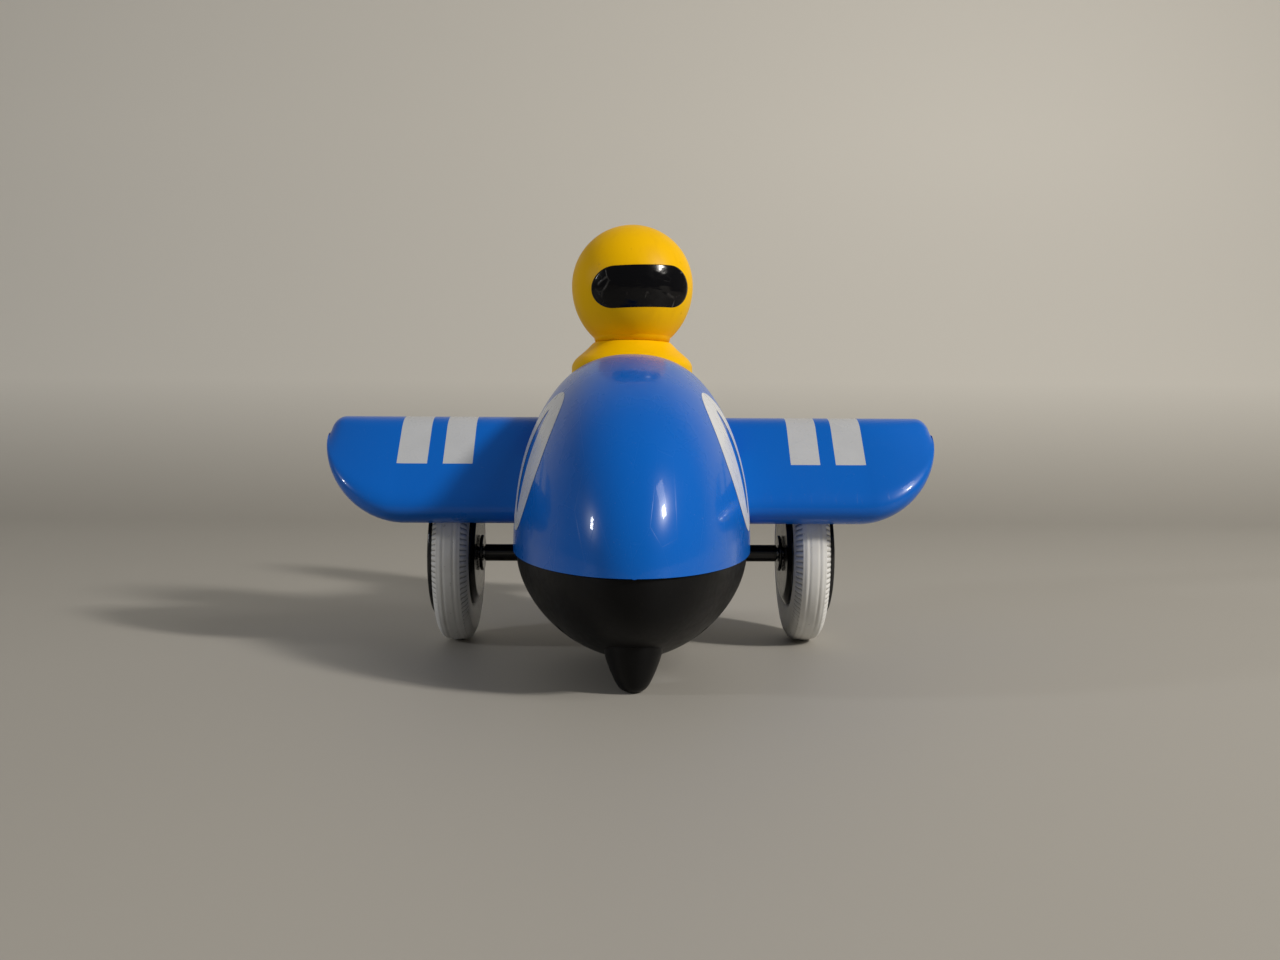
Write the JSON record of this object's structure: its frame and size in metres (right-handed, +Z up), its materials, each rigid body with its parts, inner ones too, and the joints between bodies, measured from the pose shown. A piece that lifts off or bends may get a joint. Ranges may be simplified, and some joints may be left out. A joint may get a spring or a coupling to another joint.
{
  "type": "toy airplane",
  "caption": "Chunky push-down toy airplane with an egg-shaped body, thick wings, a round-headed pilot that presses down, rubber-tyred wheels and a nose skid.",
  "frame": {"origin": "on the floor, under the middle of the airplane's bounding box", "axes": "+Z up, the nose points to -Y, the wings lie along X"},
  "size_m": [0.18, 0.186, 0.1254],
  "materials": {
    "blue_shell": "high gloss",
    "blue_wing": "high gloss",
    "black_shell": "satin",
    "black_hub": "semi-gloss",
    "pilot_yellow": "satin paint",
    "bare_wood": "sanded",
    "visor": "gloss film",
    "white_tyre": "matt",
    "gear_plastic": "satin",
    "steel": "bright"
  },
  "bodies": {
    "airframe": {"fuselage_upper_shell": "blue_shell", "fuselage_lower_shell": "black_shell", "nose_skid": "black_shell", "right_wing": "blue_wing", "left_wing": "blue_wing", "front_wing_dowel": "bare_wood", "rear_wing_dowel": "bare_wood", "tail_fin": "blue_wing", "tailplane": "blue_wing", "cockpit_sleeve": "black_shell", "gearbox_right_half": "black_shell", "gearbox_left_half": "black_shell", "gear_shaft": "steel", "gearbox_screw_1": "steel", "gearbox_screw_2": "steel", "gearbox_screw_3": "steel", "gearbox_screw_4": "steel", "body_screw_1": "steel", "body_screw_2": "steel", "body_screw_3": "steel", "body_screw_4": "steel", "right_axle_bush": "black_hub", "left_axle_bush": "black_hub", "return_spring": "steel"},
    "plunger": {"plunger_rack": "gear_plastic"},
    "pilot": {"pilot_head": "pilot_yellow", "pilot_body": "pilot_yellow", "pilot_dowel": "bare_wood", "pilot_screw": "steel", "visor_sticker": "visor"},
    "drive_gear": {"compound_gear": "gear_plastic"},
    "clutch_pinion": {"clutch_gear": "gear_plastic"},
    "wheelset": {"axle": "steel", "clutch_collar": "gear_plastic", "right_tyre": "white_tyre", "right_wheel_hub": "black_hub", "right_hub_cap": "black_hub", "right_wheel_washer": "black_hub", "right_axle_sleeve": "black_hub", "left_tyre": "white_tyre", "left_wheel_hub": "black_hub", "left_hub_cap": "black_hub", "left_wheel_washer": "black_hub", "left_axle_sleeve": "black_hub"}
  },
  "joints": [
    {"name": "plunger_slide", "type": "slide", "parent": "airframe", "child": "plunger", "axis": [0, 0, -1], "range_m": [0, 0.013], "stiffness_N_per_m": 300, "springref_m": -0.01, "deforming": ["return_spring"]},
    {"name": "pilot_turn", "type": "hinge", "parent": "plunger", "child": "pilot", "pos_m": [0, -0.008, 0.0734], "axis": [0, 0, 1], "continuous": true},
    {"name": "drive_gear_spin", "type": "hinge", "parent": "airframe", "child": "drive_gear", "pos_m": [0, 0.0012, 0.04255], "axis": [1, 0, 0], "range_deg": [0, 178]},
    {"name": "clutch_pinion_spin", "type": "hinge", "parent": "airframe", "child": "clutch_pinion", "pos_m": [0, 0.003, 0.0265], "axis": [1, 0, 0], "continuous": true},
    {"name": "wheel_spin", "type": "hinge", "parent": "airframe", "child": "wheelset", "pos_m": [0, 0.003, 0.0265], "axis": [1, 0, 0], "continuous": true}
  ],
  "couplings": [
    {"joint": "drive_gear_spin", "follows": "plunger_slide", "rad_per_m": 238.1},
    {"joint": "clutch_pinion_spin", "follows": "plunger_slide", "rad_per_m": -674.6}
  ]
}
